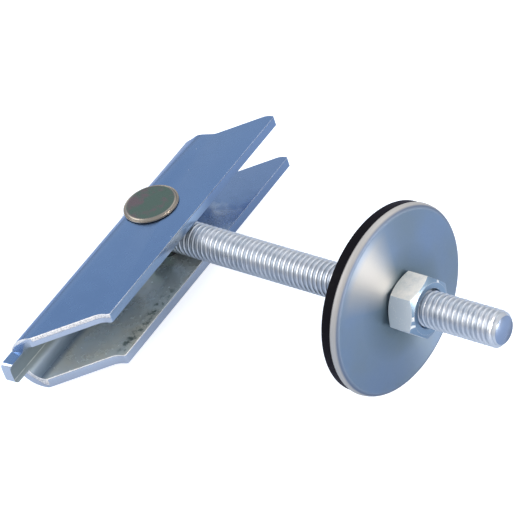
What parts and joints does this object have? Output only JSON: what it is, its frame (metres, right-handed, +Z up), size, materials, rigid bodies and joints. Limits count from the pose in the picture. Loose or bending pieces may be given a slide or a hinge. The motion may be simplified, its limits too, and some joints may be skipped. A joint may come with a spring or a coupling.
{
  "type": "toggle anchor",
  "caption": "Toggle anchor with a folded steel channel swinging on a cross pin, a threaded rod, a dished washer with a rubber seal and a hexagon nut.",
  "frame": {"origin": "on the ground under the middle of the anchor's bounding box, lying as it comes to rest", "axes": "+Z up; +X level, towards the free end of the threaded rod, which rises at about ten degrees from X"},
  "size_m": [0.1, 0.0844, 0.0411],
  "materials": {
    "channel_steel": "zinc plated, glossy, steel blue",
    "pin_steel": "yellow passivated, olive to gold",
    "rod_steel": "zinc plated, bright",
    "washer_steel": "zinc plated, satin",
    "nut_steel": "zinc plated, satin, pitted",
    "seal_rubber": "black, dull"
  },
  "bodies": {
    "rod": {"threaded_rod": "rod_steel", "cross_pin": "pin_steel"},
    "channel": {"toggle_channel": "channel_steel"},
    "washer": {"plate_washer": "washer_steel", "seal_ring": "seal_rubber"},
    "nut": {"hex_nut": "nut_steel"}
  },
  "joints": [
    {"name": "toggle_pivot", "type": "hinge", "parent": "rod", "child": "channel", "pos_m": [-0.03998, 0.00766, 0.00873], "axis": [-0.1911, -0.0479, 0.9804], "range_deg": [-94.8, 3.2]},
    {"name": "washer_travel", "type": "slide", "parent": "rod", "child": "washer", "axis": [0.9815, 0, 0.1913], "range_m": [-0.0248, 0.0175]},
    {"name": "nut_turn", "type": "hinge", "parent": "washer", "child": "nut", "pos_m": [0.02514, 0.00766, 0.02142], "axis": [0.9815, 0, 0.1913], "range_deg": [-7147, 5045]}
  ],
  "couplings": [
    {"joint": "nut_turn", "follows": "washer_travel", "rad_per_m": 5026.5}
  ]
}
